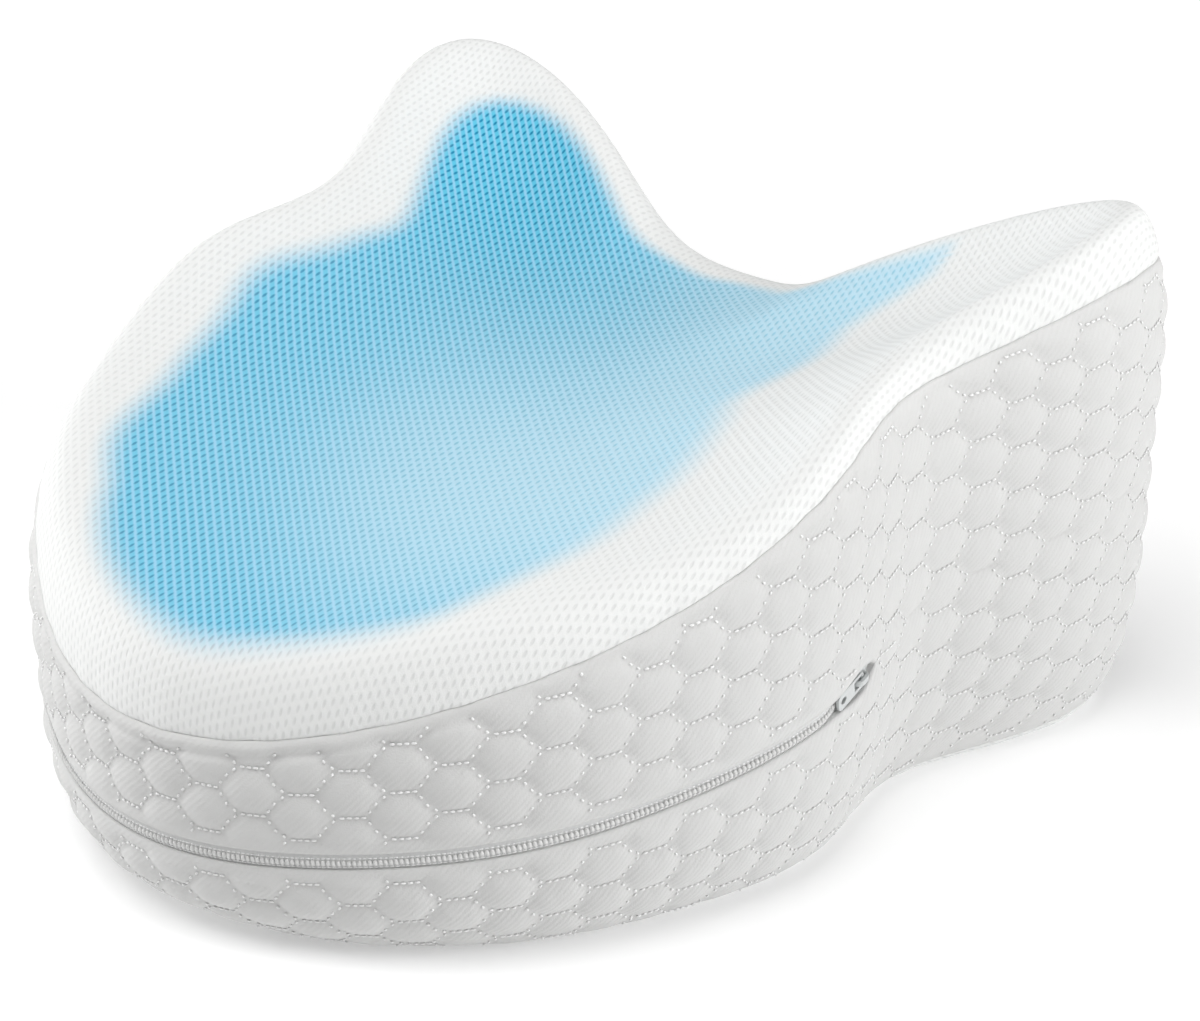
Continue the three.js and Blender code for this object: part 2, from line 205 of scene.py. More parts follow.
def finish_mesh(name, points, faces, uv=None, marks=None):
    """A smooth mesh object of points in millimetres. uv holds one pair for each face corner, and marks one
    number for each point."""
    mesh = bpy.data.meshes.new(name)
    sizes = [len(part[0]) for part in faces for _ in part]
    corners = np.concatenate([np.asarray(part).ravel() for part in faces])
    mesh.vertices.add(len(points))
    mesh.vertices.foreach_set("co", (np.asarray(points) * MM).astype(np.float32).ravel())
    mesh.loops.add(len(corners))
    mesh.loops.foreach_set("vertex_index", corners.astype(np.int32))
    mesh.polygons.add(len(sizes))
    mesh.polygons.foreach_set("loop_start", np.concatenate([[0], np.cumsum(sizes)[:-1]]).astype(np.int32))
    mesh.polygons.foreach_set("use_smooth", np.ones(len(sizes), bool))
    if uv is not None:
        pairs = np.concatenate([np.asarray(part).reshape(-1, 2) for part in uv])
        mesh.uv_layers.new(name="cloth").data.foreach_set("uv", pairs.astype(np.float32).ravel())
    for mark, values in (marks or {}).items():
        attribute = mesh.attributes.new(mark, "FLOAT", "POINT")
        attribute.data.foreach_set("value", values.astype(np.float32).ravel())
    mesh.update(calc_edges=True)
    mesh.validate()
    piece = bpy.data.objects.new(name, mesh)
    bpy.context.scene.collection.objects.link(piece)
    return piece


def closed_skin(name, rings, low_pole, high_pole, uv, marks=None):
    """Rings of points, shaped (rings, stations, 3), closed by a fan to a pole at each end. uv is shaped
    (rings, stations + 1, 2), so that the last station meets the first without a jump."""
    count, stations = rings.shape[:2]
    points = np.concatenate([rings.reshape(-1, 3), [low_pole], [high_pole]])
    i = np.arange(stations)
    nxt = (i + 1) % stations
    row = np.arange(count - 1)[:, None] * stations
    quads = np.stack([row + i, row + stations + i, row + stations + nxt, row + nxt], -1).reshape(-1, 4)
    low, high = count * stations, count * stations + 1
    top_row = (count - 1) * stations
    fan_low = np.stack([np.full(stations, low), i, nxt], -1)
    fan_high = np.stack([np.full(stations, high), top_row + nxt, top_row + i], -1)
    quad_uv = np.stack([uv[:-1, :-1], uv[1:, :-1], uv[1:, 1:], uv[:-1, 1:]], 2)
    low_uv = np.stack([uv[0, :-1] * 0 + uv[0].mean(0), uv[0, :-1], uv[0, 1:]], 1)
    high_uv = np.stack([uv[-1, :-1] * 0 + uv[-1].mean(0), uv[-1, 1:], uv[-1, :-1]], 1)
    if marks:
        marks = {k: np.concatenate([v.ravel(), [v[0].mean()], [v[-1].mean()]]) for k, v in marks.items()}
    return finish_mesh(name, points, [quads, fan_low, fan_high], [quad_uv, low_uv, high_uv], marks)


def swept(name, sections):
    """A closed bar from sections shaped (steps, corners, 3), with a flat cap at each end."""
    steps, corners = sections.shape[:2]
    k = np.arange(corners)
    nxt = (k + 1) % corners
    row = np.arange(steps - 1)[:, None] * corners
    quads = np.stack([row + k, row + nxt, row + corners + nxt, row + corners + k], -1).reshape(-1, 4)
    caps = np.stack([k[::-1], (steps - 1) * corners + k])
    return finish_mesh(name, sections.reshape(-1, 3), [quads, caps])


def grain(rings=3, sides=5, blunt=0.6):
    """A small rounded bar of half length 1 along x and radius 1: its radius is (1 - x^2) to a power."""
    x = np.cos(np.linspace(np.pi, 0, rings + 2))[1:-1]
    turn = np.arange(sides) * 2 * np.pi / sides
    radius = (1 - x**2) ** (blunt / 2)
    y, z = np.outer(radius, np.cos(turn)), np.outer(radius, np.sin(turn))
    ring = np.stack([np.repeat(x, sides), y.ravel(), z.ravel()], -1)
    points = np.concatenate([ring, [[-1, 0, 0], [1, 0, 0]]])
    k = np.arange(sides)
    nxt = (k + 1) % sides
    row = np.arange(rings - 1)[:, None] * sides
    quads = np.stack([row + k, row + sides + k, row + sides + nxt, row + nxt], -1).reshape(-1, 4)[:, ::-1]
    last = (rings - 1) * sides
    low = np.stack([np.full(sides, rings * sides), nxt, k], -1)
    high = np.stack([np.full(sides, rings * sides + 1), last + k, last + nxt], -1)
    return points, quads, np.concatenate([low, high])


def strewn(name, shape, centres, axes, sizes):
    """Copies of one small shape: each point is centre + sum of axis times size times the shape's
    coordinate."""
    points, quads, triangles = shape
    placed = centres[:, None] + np.einsum("pk,nk,nkc->npc", points, sizes, axes)
    first = np.arange(len(centres))[:, None, None] * len(points)
    faces = [(first + quads).reshape(-1, 4), (first + triangles).reshape(-1, 3)]
    return finish_mesh(name, placed.reshape(-1, 3), faces)


# The quilted band and filled body

STATIONS = 800
UP_ROWS, DOWN_ROWS = 46, 58
# Real quilting: columns of puffed cells, each half a cell out of step with the next, flat at top and
# bottom: height, length of the flat edges, distance of the columns before they are fitted to the girth, puff.
CELL_HIGH, CELL_EDGE, CELL_APART, PUFF = 12.0, 6.2, 11.6, 1.35
# How round the corners at the flat edges and the points at the sides are, and how far the slanted sides lie
# out from straight ones.
CORNER_ROUND, POINT_ROUND, SIDE_OUT = 0.55, 1.2, 0.55
# Half lengths of the stitches in flat edges and in sides, how far those in the sides bow out, half width and
# half height of the thread, and how far its middle lies above the cloth.
STITCH_HALF, SIDE_STITCH_HALF, STITCH_BOW = 0.62, 0.46, 0.9
THREAD_WIDE, THREAD_HIGH, THREAD_RAISED = 0.34, 0.3, 0.2
# Half the zip's opening along the chain, what the slider adds to it, and where that lies and how far it
# spreads.
LIP_HALF, SLIDER_ROOM, SLIDER_AT, SLIDER_SPREAD = 2.1, 1.4, 8.5, 6.5
# How far the stitches stay from a sewn edge or a lip, the least half opening between the lips, and how far
# the quilting's grooves lie under the skin.
HEM, LIP_LEAST, GROOVE_SUNK = 2.6, 0.15, 0.6
THETA = np.arange(STATIONS) * 2 * np.pi / STATIONS
ROUND = np.append(THETA, 2 * np.pi)
ZIP_LINE = outer_point(ROUND, 1e-9)
ALONG = np.concatenate([[0], np.cumsum(np.linalg.norm(np.diff(ZIP_LINE, axis=0), axis=1))])
GIRTH = ALONG[-1]
CELL_PITCH = GIRTH / (2 * round(GIRTH / (2 * CELL_APART)))
ZIP_START_AT, ZIP_STOP_AT = np.interp(np.radians([ZIP_END, 360 - ZIP_END]), ROUND, ALONG)


def slit_half(along):
    """Half the zip's opening: a bell round the slider over an even width, closing to nothing at the zip's
    ends."""
    near, far = along - ZIP_START_AT, ZIP_STOP_AT - along
    opening = LIP_HALF + SLIDER_ROOM * np.exp(-(((near - SLIDER_AT) / SLIDER_SPREAD) ** 2))
    shut = 1 - np.exp(-np.clip(near + 0.3, 0, None) / 1.6)
    shut_far = 1 - np.exp(-np.clip(far, 0, None) / 1.2)
    return opening * shut * shut_far * ((near > -0.3) & (far > 0))


def slit_depth(along):
    """Depth of the zip's slit, which runs out at its ends."""
    return SLIT_DEPTH * smooth(-0.6, 0.8, along - ZIP_START_AT) * smooth(-0.2, 1.2, ZIP_STOP_AT - along)


def cell_place(u, v):
    """Column and row of the nearest cell, and the point's place in it. The outline is a rounded hexagon."""
    best = None
    for odd in (0, 1):
        column = np.round((u / CELL_PITCH - odd) / 2) * 2 + odd
        row = np.round(v / CELL_HIGH - odd / 2)
        x = u - column * CELL_PITCH
        y = v - (row + odd / 2) * CELL_HIGH
        edge = cell_depth(x, y)
        if best is None:
            best = [column, row + odd / 2, edge]
        else:
            nearer = edge > best[2]
            best = [np.where(nearer, new, old) for new, old in zip((column, row + odd / 2, edge), best)]
    return best


def cell_depth(x, y):
    """Distance from the cell's outline: the lesser of that to its flat edges and that to its slanted sides,
    which meet in a rounded corner."""
    half = CELL_HIGH / 2
    reach = CELL_PITCH - CELL_EDGE / 2
    lean = np.hypot(half, reach - CELL_EDGE / 2)
    flat = half - np.abs(y)
    folded = np.sqrt(y**2 + POINT_ROUND) - SIDE_OUT
    slant = ((reach - np.abs(x)) * half - folded * (reach - CELL_EDGE / 2)) / lean
    return -np.log(np.exp(-flat / CORNER_ROUND) + np.exp(-slant / CORNER_ROUND)) * CORNER_ROUND


# Flat piece of quilted cloth for the simulation: columns and rows of cells, grid step in mm, metres for a
# mm, and the frames that it runs for.
TRIAL_COLUMNS, TRIAL_ROWS, TRIAL_STEP, TRIAL_SCALE, TRIAL_FRAMES = 7, 6, 0.78, 0.02, 22


def stitch_places(columns, rows):
    """Places of the quilting's stitches, as (u, v, slant, half length): four in each cell's flat edge and
    three small ones in each of the slanted sides, which bow outwards."""
    reach, rise = CELL_PITCH - CELL_EDGE / 2, CELL_HIGH / 2
    run = reach - CELL_EDGE / 2
    column, row = (grid.ravel() for grid in np.meshgrid(columns, rows))
    base = np.stack([column * CELL_PITCH, (row + (column % 2) / 2) * CELL_HIGH, 0 * column, 0 * column], -1)
    marks = [(share * CELL_EDGE, rise, 0, STITCH_HALF) for share in (-0.4, -0.133, 0.133, 0.4)]
    for sign in (-1, 1):
        for share in (0.2, 0.5, 0.8):
            bow = STITCH_BOW * np.sin(np.pi * share)
            x = CELL_EDGE / 2 + run * share + bow * 0.6
            y = sign * (rise * (1 - share) + bow * 0.7)
            marks.append((x, y, -sign * np.arctan2(rise, run), SIDE_STITCH_HALF))
    return (base[:, None] + np.array(marks)).reshape(-1, 4)


def puffed_trial():
    """Heights of a flat sewn piece of the quilted cloth on a grid, from a cloth simulation: the cloth is
    held at its stitches, is a few per cent longer than its lining, and is pressed up by its wadding."""
    wide, high = (TRIAL_COLUMNS + 1) * CELL_PITCH, (TRIAL_ROWS + 1) * CELL_HIGH
    x, y = np.arange(0, wide, TRIAL_STEP), np.arange(0, high, TRIAL_STEP)
    points = np.stack([*np.meshgrid(x, y), np.zeros((len(y), len(x)))], -1)
    points[..., 2] = 0.02 * np.random.default_rng(11).uniform(0, 1, points.shape[:2])
    across, count = len(x), points.shape[0] * points.shape[1]
    index = np.arange(count).reshape(points.shape[:2])
    quads = np.stack([index[:-1, :-1], index[:-1, 1:], index[1:, 1:], index[1:, :-1]], -1).reshape(-1, 4)
    trial = finish_mesh("trial cloth", points.reshape(-1, 3) * TRIAL_SCALE / MM, [quads])
    sewn = stitch_places(np.arange(-1, TRIAL_COLUMNS + 2), np.arange(-1, TRIAL_ROWS + 2))
    column, row = (np.round(sewn[:, k] / TRIAL_STEP).astype(int) for k in (0, 1))
    kept = (column >= 0) & (column < len(x)) & (row >= 0) & (row < len(y))
    rim = np.concatenate([index[0], index[-1], index[:, 0], index[:, -1]])
    held = np.unique(np.concatenate([row[kept] * across + column[kept], rim]))
    trial.vertex_groups.new(name="sewn").add(held.tolist(), 1.0, "REPLACE")
    cloth = trial.modifiers.new("cloth", "CLOTH")
    cloth.settings.vertex_group_mass = "sewn"
    cloth.settings.quality = 6
    cloth.settings.mass = 0.1
    cloth.settings.tension_stiffness = cloth.settings.compression_stiffness = 8
    cloth.settings.shear_stiffness = 3
    cloth.settings.bending_stiffness = 0.15
    cloth.settings.shrink_min = -0.045
    cloth.settings.use_pressure = True
    cloth.settings.uniform_pressure_force = 3.5
    cloth.settings.effector_weights.gravity = 0
    cloth.collision_settings.use_collision = False
    cloth.point_cache.frame_start, cloth.point_cache.frame_end = 1, TRIAL_FRAMES
    for step in range(TRIAL_FRAMES):
        bpy.context.scene.frame_set(step + 1)
    done = trial.evaluated_get(bpy.context.evaluated_depsgraph_get())
    settled = np.empty(count * 3, np.float32)
    done.data.vertices.foreach_get("co", settled)
    bpy.data.objects.remove(trial)
    bpy.context.scene.frame_set(1)
    heights = settled.reshape(*points.shape)[..., 2] / TRIAL_SCALE
    return np.clip(heights, -0.2, None)


TRIAL = puffed_trial()
TRIAL_TOP = np.percentile(TRIAL, 97)
CELL_COUNT = int(round(GIRTH / CELL_PITCH))
# Which simulated cell each cell of the band copies, drawn once for all.
CELL_DRAW = np.random.default_rng(5).integers(0, 1000, (400, 400))
# Share of the simulation in the puff, and the power of its dome with it and without.
SETTLED_SHARE, DOME, QUICK_DOME = 0.4, 1.7, 2.4


def quilt_relief(u, v):
    """Puff of the quilted cloth, and the share t of the way from a cell's outline to its middle."""
    column, row, depth = cell_place(u, v)
    t = np.clip((depth + 0.1) / 5.0, 0, 1)
    if TRIAL is None:
        return PUFF * (1 - (1 - t) ** QUICK_DOME), t
    draw = CELL_DRAW[column.astype(int) % CELL_COUNT, np.round(row * 2).astype(int) + 200]
    from_column, from_row = 1 + draw % TRIAL_COLUMNS, 1 + (draw // TRIAL_COLUMNS) % (TRIAL_ROWS - 1)
    x = (u - column * CELL_PITCH + from_column * CELL_PITCH) / TRIAL_STEP
    y = (v - row * CELL_HIGH + (from_row + (from_column % 2) / 2) * CELL_HIGH) / TRIAL_STEP
    c = np.clip(x.astype(int), 0, TRIAL.shape[1] - 2)
    r = np.clip(y.astype(int), 0, TRIAL.shape[0] - 2)
    a, b = np.clip(x - c, 0, 1), np.clip(y - r, 0, 1)
    low = TRIAL[r, c] * (1 - a) + TRIAL[r, c + 1] * a
    high = TRIAL[r + 1, c] * (1 - a) + TRIAL[r + 1, c + 1] * a
    settled = (low * (1 - b) + high * b) / TRIAL_TOP * smooth(-0.3, 0.7, depth)
    return PUFF * (SETTLED_SHARE * settled + (1 - SETTLED_SHARE) * (1 - (1 - t) ** DOME)), t


def even_places(theta, low, high, side, shares):
    """Places from low to high at even lengths along the wall, one column for each station."""
    power = 2 / side["rounding"]
    lift_low, lift_high = (np.sin(np.abs(p) * np.pi / 2) ** power for p in (low, high))
    lifts = lift_low[:, None] + (lift_high - lift_low)[:, None] * np.linspace(0, 1, 160)
    fine = side["sign"] * lifted_place(lifts, side)
    lengths = np.linalg.norm(np.diff(outer_point(theta[:, None], fine), axis=1), axis=-1)
    run = np.concatenate([np.zeros((len(theta), 1)), np.cumsum(lengths, 1)], 1)
    picked = [np.interp(shares * total[-1], total, row) for total, row in zip(run, fine)]
    return np.array(picked).T, run[:, -1]


def near_zip(theta, height, side):
    """Place at a height above or below the zip line, close to it."""
    carried_out = skin_height(theta, side, 1 / crest_of(theta, side)[2])
    room = np.abs(carried_out - ZIP_HEIGHT - ZIP_CLIMB * plan_point(theta)[..., 1])
    return side["sign"] * lifted_place(height / room, side)


def creases(u, v):
    """Slow unevenness of the band where it is drawn over the filling: a few long low waves."""
    turn = 2 * np.pi * u / GIRTH
    long_wave = np.sin(5 * turn + 0.05 * v)
    middle_wave = 0.7 * np.sin(9 * turn - 0.06 * v + 1.3)
    short_wave = 0.5 * np.sin(14 * turn + 0.09 * v + 4)
    return 0.32 * (long_wave + middle_wave + short_wave)


def band_half(side, rows):
    """Rows of one half of the band, from the zip's lip to the sewn edge: points, heights on the wall, and t
    of the cells. The puff fades out at the seam and the lips, and a small fold lies along the seam at the
    low end."""
    along = ALONG[:-1]
    start = np.maximum(slit_half(along), LIP_LEAST)
    shares = np.linspace(0, 1, rows)
    places, length = even_places(THETA, near_zip(THETA, start, side), seam_place(THETA, side), side, shares)
    height = start + shares[:, None] * length
    to_seam = length * (1 - shares[:, None])
    to_lip = shares[:, None] * length
    v = side["sign"] * height
    u = np.broadcast_to(along, v.shape)
    puff, cell = quilt_relief(u, v)
    zipped = smooth(-4, 0, along - ZIP_START_AT) * smooth(-4, 0, ZIP_STOP_AT - along)
    free = smooth(0.5, 5, to_seam) * (1 - zipped * (1 - smooth(0.6, 4.5, to_lip)))
    roll = 1 - np.sqrt(1 - np.clip(1 - to_seam / SEAM_ROUND, 0, 1) ** 2)
    lip_roll = zipped * np.exp(-to_lip / 0.9) * 0.45
    near_end = smooth(1.25, 0.6, np.abs(THETA - np.pi - 0.35)) * (side is TOP)
    ridge = 0.45 * np.exp(-(((to_seam - 1.7) / 1.2) ** 2))
    groove = 0.5 * np.exp(-(((to_seam - 4.0) / 0.9) ** 2))
    fold = near_end * (ridge - groove)
    free = free * (1 if side is TOP else 0.45 + 0.55 * smooth(4, 20, to_seam))
    swell = creases(u, v) * smooth(0, 14, to_seam) * (1 - zipped * smooth(14, 0, to_lip))
    inset = SEAM_DEPTH * roll - (puff - GROOVE_SUNK) * free + lip_roll - fold - swell
    points = outer_point(THETA, places) - outward(THETA, places) * inset[..., None]
    points[..., 2] = np.maximum(points[..., 2], 0.05)
    return points, v, np.where(free > 0.35, cell, 1)


def hidden_rows(side, shares):
    """Rows of the filling under a panel, set back by its thickness: from the sewn edge to the middle."""
    start = seam_place(THETA, side)
    rows = [(start, SEAM_DEPTH + PANEL_THICK + 2 * GAP)]
    rows += [(start + (side["sign"] - start) * s, PANEL_THICK + GAP) for s in (0.3, 0.65)]
    rows += [(np.full(STATIONS, side["sign"] * (2 - s)), PANEL_THICK + GAP) for s in shares]
    return np.array([outer_point(THETA, place) - outward(THETA, place) * inset for place, inset in rows])


upper, upper_v, upper_cell = band_half(TOP, UP_ROWS)
lower, lower_v, lower_cell = band_half(UNDER, DOWN_ROWS)


def slit_rows():
    """Cloth turned into the zip's slit: down one lip, across its floor and up the other. Past the zip's
    ends the rows close up and lie evenly between the two halves of the band."""
    deep = slit_depth(ALONG[:-1])[:, None]
    opened = smooth(0, 1, deep)
    out = outward(THETA, np.full(STATIONS, 1e-9))
    rows = []
    for step, (side, share) in enumerate(((0, 0.1), (0, 0.35), (0, 1), (1, 1), (1, 0.35), (1, 0.1))):
        across = opened * side + (1 - opened) * (step + 1) / 7
        rows.append(lower[0] * (1 - across) + upper[0] * across - out * deep * share)
    return np.array(rows)


hidden_under = hidden_rows(UNDER, (1, 0.8, 0.5, 0.2))[::-1]
hidden_top = hidden_rows(TOP, (1, 0.8, 0.5, 0.2))
body_rings = np.concatenate([hidden_under, lower[::-1], slit_rows(), upper, hidden_top])


def body_v(count, value):
    """Rows of the body that hold one value."""
    return np.full((count, STATIONS), value)


body_heights = np.concatenate([
    body_v(len(hidden_under), lower_v.min()), lower_v[::-1], body_v(3, -1.0), body_v(3, 1.0), upper_v,
    body_v(len(hidden_top), upper_v.max()),
])
# Each cell's share from its outline to its middle: the band's material paints shade into the grooves with it.
groove_shade_mask = np.concatenate([
    body_v(len(hidden_under), 1.0), lower_cell[::-1], body_v(6, 1.0), upper_cell,
    body_v(len(hidden_top), 1.0),
])
body_uv = np.stack([
    np.broadcast_to(ALONG, (len(body_rings), STATIONS + 1)),
    np.concatenate([body_heights, body_heights[:, :1]], 1),
], -1)
quilted_body = closed_skin(
    "quilted_body", body_rings,
    outer_point(0, -2.0) + [0, 0, PANEL_THICK + GAP], outer_point(0, 2.0) - [0, 0, PANEL_THICK + GAP],
    body_uv, {"puffed": groove_shade_mask},
)


def on_band(u, v):
    """Points on the finished band at those lengths and heights, by bilinear reading of its rows."""
    column = np.interp(u % GIRTH, ALONG, np.arange(STATIONS + 1))
    found = []
    for half, heights in ((upper, upper_v), (lower, lower_v)):
        start = np.interp(column, np.arange(STATIONS + 1), np.append(heights[0], heights[0, 0]))
        stop = np.interp(column, np.arange(STATIONS + 1), np.append(heights[-1], heights[-1, 0]))
        row = np.clip((v - start) / (stop - start), 0, 1) * (len(half) - 1)
        found.append(read_grid(half, row, column))
    return np.where((v > 0)[:, None], *found)


def read_grid(grid, row, column):
    """Bilinear reading of a grid that wraps round its columns."""
    r, c = np.minimum(row.astype(int), len(grid) - 2), column.astype(int) % STATIONS
    a, b = (row - r)[:, None], (column - column.astype(int))[:, None]
    nxt = (c + 1) % STATIONS
    here = grid[r, c] * (1 - a) + grid[r + 1, c] * a
    beyond = grid[r, nxt] * (1 - a) + grid[r + 1, nxt] * a
    return here * (1 - b) + beyond * b


def band_frames(u, v, slant):
    """Centre and three axes of stitches on the band: along the stitch, across it, and outwards."""
    step = 0.4
    centre = on_band(u, v)
    side = unit(on_band(u + step, v) - on_band(u - step, v))
    up = unit(on_band(u, v + step * np.sign(v)) - centre) * np.sign(v)[:, None]
    along = unit(side * np.cos(slant)[:, None] + up * np.sin(slant)[:, None])
    out = unit(np.cross(side, up))
    out *= -np.sign(np.sum(out * (np.array([0, 0, 50.0]) - centre), 1))[:, None]
    return centre, np.stack([along, unit(np.cross(out, along)), out], 1)


def quilting_stitches():
    """The stitches that lie on the bare band, clear of its sewn edges and of the zip's lips."""
    u, v, slant, length = stitch_places(np.arange(CELL_COUNT), np.arange(-12, 12)).T
    at, ends = np.interp(u % GIRTH, ALONG, np.arange(STATIONS + 1)), np.arange(STATIONS + 1)
    high = np.interp(at, ends, np.append(upper_v[-1], upper_v[-1, 0]))
    low = np.interp(at, ends, np.append(lower_v[-1], lower_v[-1, 0]))
    lip = slit_half(u % GIRTH)
    room = np.where(lip > 0, lip + HEM, 0.3)
    kept = (v < high - HEM) & (v > low + HEM) & (np.abs(v) > room)
    return u[kept], v[kept], slant[kept], length[kept]


stitch_u, stitch_v, stitch_slant, stitch_length = quilting_stitches()
stitch_centre, stitch_axes = band_frames(stitch_u, stitch_v, stitch_slant)
stitch_centre = stitch_centre + stitch_axes[:, 2] * THREAD_RAISED
thread_sizes = np.tile([THREAD_WIDE, THREAD_HIGH], (len(stitch_u), 1))
stitch_sizes = np.concatenate([stitch_length[:, None], thread_sizes], 1)
quilting_thread = strewn("quilting_thread", grain(), stitch_centre, stitch_axes, stitch_sizes)

# The two sewn panels

PANEL_STATIONS = 480
# The hidden back of a panel repeats every sixth row of its face. The puckers along the seam fade over a
# length.
BACK_STEP, PUCKER, PUCKER_FADE = 6, 0.13, 5


def panel_grid(side, shoulder_rows, dish_rows):
    """Outer face of a panel from its sewn edge to near the middle: angles, places, and distance from the
    edge."""
    theta = np.arange(PANEL_STATIONS) * 2 * np.pi / PANEL_STATIONS
    edge = beside(theta, seam_place(theta, side), side["sign"] * EDGE_GAP)
    shares = np.linspace(0, 1, shoulder_rows) ** 1.15
    shoulder = edge + (side["sign"] - edge) * shares[:, None]
    reach = np.linspace(1, 0.02, dish_rows)[1:]
    middle = np.broadcast_to(side["sign"] * (2 - reach)[:, None], (dish_rows - 1, PANEL_STATIONS))
    places = np.concatenate([shoulder, middle])
    points = outer_point(theta, places)
    steps = np.linalg.norm(np.diff(points, axis=0), axis=-1)
    from_edge = np.concatenate([np.zeros((1, PANEL_STATIONS)), np.cumsum(steps, 0)])
    return theta, places, points, from_edge


def panel_piece(name, side, shoulder_rows, dish_rows):
    """A sewn panel of even thickness. Its edge is drawn in along the seam with small puckers, and its uv is
    the cloth's own length from the middle, laid out along the same angle. The top one also carries the
    print."""
    theta, places, points, from_edge = panel_grid(side, shoulder_rows, dish_rows)
    out = outward(theta, places)
    turn = np.clip(1 - from_edge / SEAM_ROUND, 0, 1)
    drawn = SEAM_DEPTH * (1 - np.sqrt(1 - turn**2))
    pucker = np.sin(61 * theta) + 0.6 * np.sin(97 * theta + 2) + 0.5 * np.sin(23 * theta + 1)
    drawn = drawn + PUCKER * pucker * np.exp(-from_edge / PUCKER_FADE)
    face = points - out * drawn[..., None]
    back = points[::BACK_STEP] - out[::BACK_STEP] * (drawn[::BACK_STEP] + PANEL_THICK)[..., None]
    face[..., 2] = np.maximum(face[..., 2], 0.02)
    back[..., 2] = np.maximum(back[..., 2], 0.5)
    pole = outer_point(0, 2.0 * side["sign"])
    inner = pole - np.array([0, 0, side["sign"] * PANEL_THICK])
    to_middle = from_edge[-1] - from_edge + np.linalg.norm(points[-1] - pole, axis=-1)
    wide = np.append(theta, 2 * np.pi)
    lay = np.concatenate([to_middle, to_middle[:, :1]], 1)
    uv_face = np.stack([lay * np.sin(wide), lay * np.cos(wide)], -1)
    uv_back = uv_face[::BACK_STEP]
    if side is UNDER:
        rings, uv = np.concatenate([face[::-1], back]), np.concatenate([uv_face[::-1], uv_back])
        return closed_skin(name, rings, pole, inner, uv)
    rings, uv = np.concatenate([back[::-1], face]), np.concatenate([uv_back[::-1], uv_face])
    marks = print_marks(theta, places, points)
    marks = {mark: np.concatenate([values[::BACK_STEP][::-1], values]) for mark, values in marks.items()}
    return closed_skin(name, rings, inner, pole, uv, marks)


# Where the print's edge lies at a few angles round the pillow: its reach as a share of the way
# from the middle to the crest (past 1 it runs down the rounding), and half the width in millimetres of its
# soft edge. It meets the rim at the far end, stays well back from the right wing and side, runs over the
# rim at the low end and stays just inside it on the left.
PRINT = {
    "angle": (0, 38, 42, 50, 75, 110, 150, 175, 205, 240, 270, 300, 330),
    "reach": (1.0, 1.0, 0.6, 0.5, 0.6, 0.65, 1.0, 1.2, 1.0, 0.9, 0.9, 0.85, 1.0),
    "soft": (3.5, 4.5, 5.5, 6.5, 8, 9, 7, 6.5, 6, 6, 6.5, 4.5, 4),
}
# Angles over which a value is averaged, and the waver of the edge as (size, waves round the pillow, phase).
PRINT_ROUND = (-2, 0, 2)
PRINT_WAVER = ((0.012, 7, 1), (0.008, 17, 0))
# Painted light: the print is painted palest to the right, where that side is lit most, in a line along the
# pillow: its x, and where the line starts and stops.
PAINTED_LIGHT_X, PAINTED_LIGHT_FROM, PAINTED_LIGHT_TO = 62, 0, 100


def print_row(theta, column):
    """A column of the print's table at an angle: straight between its values, with the corners averaged
    off."""
    turned = [np.degrees(theta) + turn for turn in PRINT_ROUND]
    return np.mean([np.interp(angle, PRINT["angle"], PRINT[column], period=360) for angle in turned], axis=0)


def print_reach(theta):
    """Reach of the print at an angle, with a slight waver."""
    waver = sum(size * np.sin(waves * theta + phase) for size, waves, phase in PRINT_WAVER)
    return print_row(theta, "reach") + waver


def print_marks(theta, places, points):
    """How much print there is at each point, from its distance to the edge line over the width of the soft
    edge, and how pale it is: painted paler towards the right as painted light on that better lit side, and a
    little paler towards the low end."""
    corners = np.radians(np.arange(0, 363, 3))
    line = outer_point(corners, 2 - print_reach(corners))
    from_line = np.full(points.shape[:2], 1e9)
    for start, stop in zip(line[:-1], line[1:]):
        run = stop - start
        share = np.clip((points - start) @ run / (run @ run), 0, 1)
        from_line = np.minimum(from_line, np.linalg.norm(points - start - share[..., None] * run, axis=-1))
    from_line = np.where(2 - places > print_reach(theta), from_line, -from_line)
    soft = print_row(theta, "soft")
    amount = 1 - smooth(-1, 1, from_line / soft)
    x, y = points[..., 0], points[..., 1]
    from_painted_light = np.hypot(x - PAINTED_LIGHT_X, y - np.clip(y, PAINTED_LIGHT_FROM, PAINTED_LIGHT_TO))
    from_painted_light = from_painted_light + 8 * np.sin(y / 31) + 5 * np.sin(x / 17 + y / 23)
    # The second share is painted light: the print is painted paler where the right side is lit most. The
    # first makes it a little paler towards the low end.
    little, lit_paleness = 0.16 * smooth(80, 20, y), 0.95 * smooth(135, 16, from_painted_light)
    paleness_with_painted_light = little + (1 - little) * lit_paleness
    return {"print": amount, "paleness_with_painted_light": paleness_with_painted_light}


printed_top = panel_piece("printed_top", TOP, 42, 84)
plain_underside = panel_piece("plain_underside", UNDER, 30, 60)

# The zip

ZIP_STEPS = 520
# Tape and coil lie deeper near the slider, to clear it, and rise over a stretch of the zip line. They lie
# shallower than in the solids, because the real chain lies nearly flush with the cloth.
RISE_FROM, RISE_TO, TAPE_SINK, COIL_SINK = 16, 25, 1.2, 1.45
COIL_DEPTH, SEWING_DEPTH, COIL_DROP = 0.6, 0.85, 0.3
COIL_PITCH, COIL_START, COIL_STOP, COIL_LEAN = 1.22, 9.0, 1.5, 0.22


def zip_frame(along):
    """On the zip line at those lengths: origin, direction along it, direction up the wall, and outwards."""
    theta = np.interp(along, ALONG, ROUND)
    origin = outer_point(theta, 1e-9)
    out = outward(theta, np.zeros_like(theta))
    run = unit(outer_point(theta + STEP, 1e-9) - outer_point(theta - STEP, 1e-9))
    up = unit(np.cross(run, out))
    up *= np.sign(up[:, 2:])
    return origin, run, up, out


